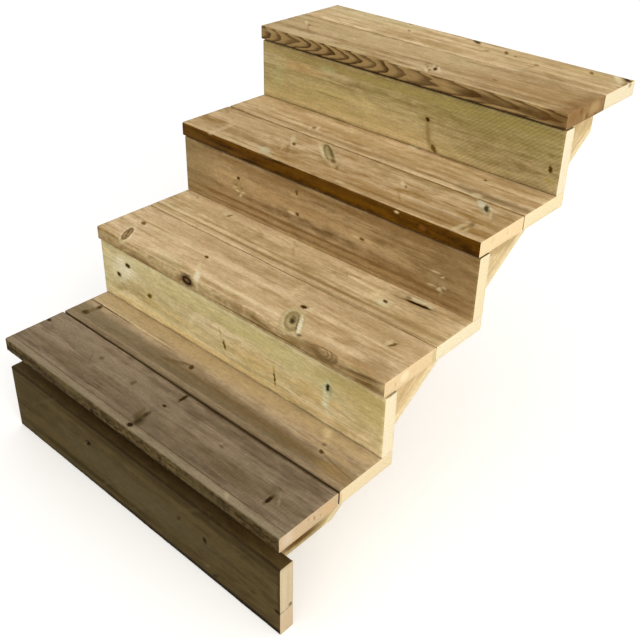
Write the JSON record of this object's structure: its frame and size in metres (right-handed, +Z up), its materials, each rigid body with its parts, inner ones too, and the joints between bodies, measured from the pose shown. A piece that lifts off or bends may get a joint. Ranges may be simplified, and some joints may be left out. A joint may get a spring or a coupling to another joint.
{
  "type": "outdoor wooden staircase",
  "caption": "Straight outdoor timber stair with two-board treads and closed risers on sawtooth stringers, fixed to a wall at the top.",
  "frame": {"origin": "on the plumb-cut wall end of the left stringer, on its centre line, 50 mm below the underside of the top tread", "axes": "+X to the right seen from the front, +Y up the flight and square into the wall, +Z up"},
  "size_m": [0.82, 1.047, 0.756],
  "materials": {
    "tread_boards": "planed treated pine, lightly weathered",
    "riser_boards": "planed treated pine, greenish",
    "stringers": "planed treated pine, pale"
  },
  "bodies": {
    "root": {"tread_1_front_board": "tread_boards", "tread_1_rear_board": "tread_boards", "tread_2_front_board": "tread_boards", "tread_2_rear_board": "tread_boards", "tread_3_front_board": "tread_boards", "tread_3_rear_board": "tread_boards", "tread_4_front_board": "tread_boards", "tread_4_rear_board": "tread_boards", "riser_1": "riser_boards", "riser_2": "riser_boards", "riser_3": "riser_boards", "riser_4": "riser_boards", "left_stringer": "stringers", "right_stringer": "stringers"}
  },
  "joints": []
}
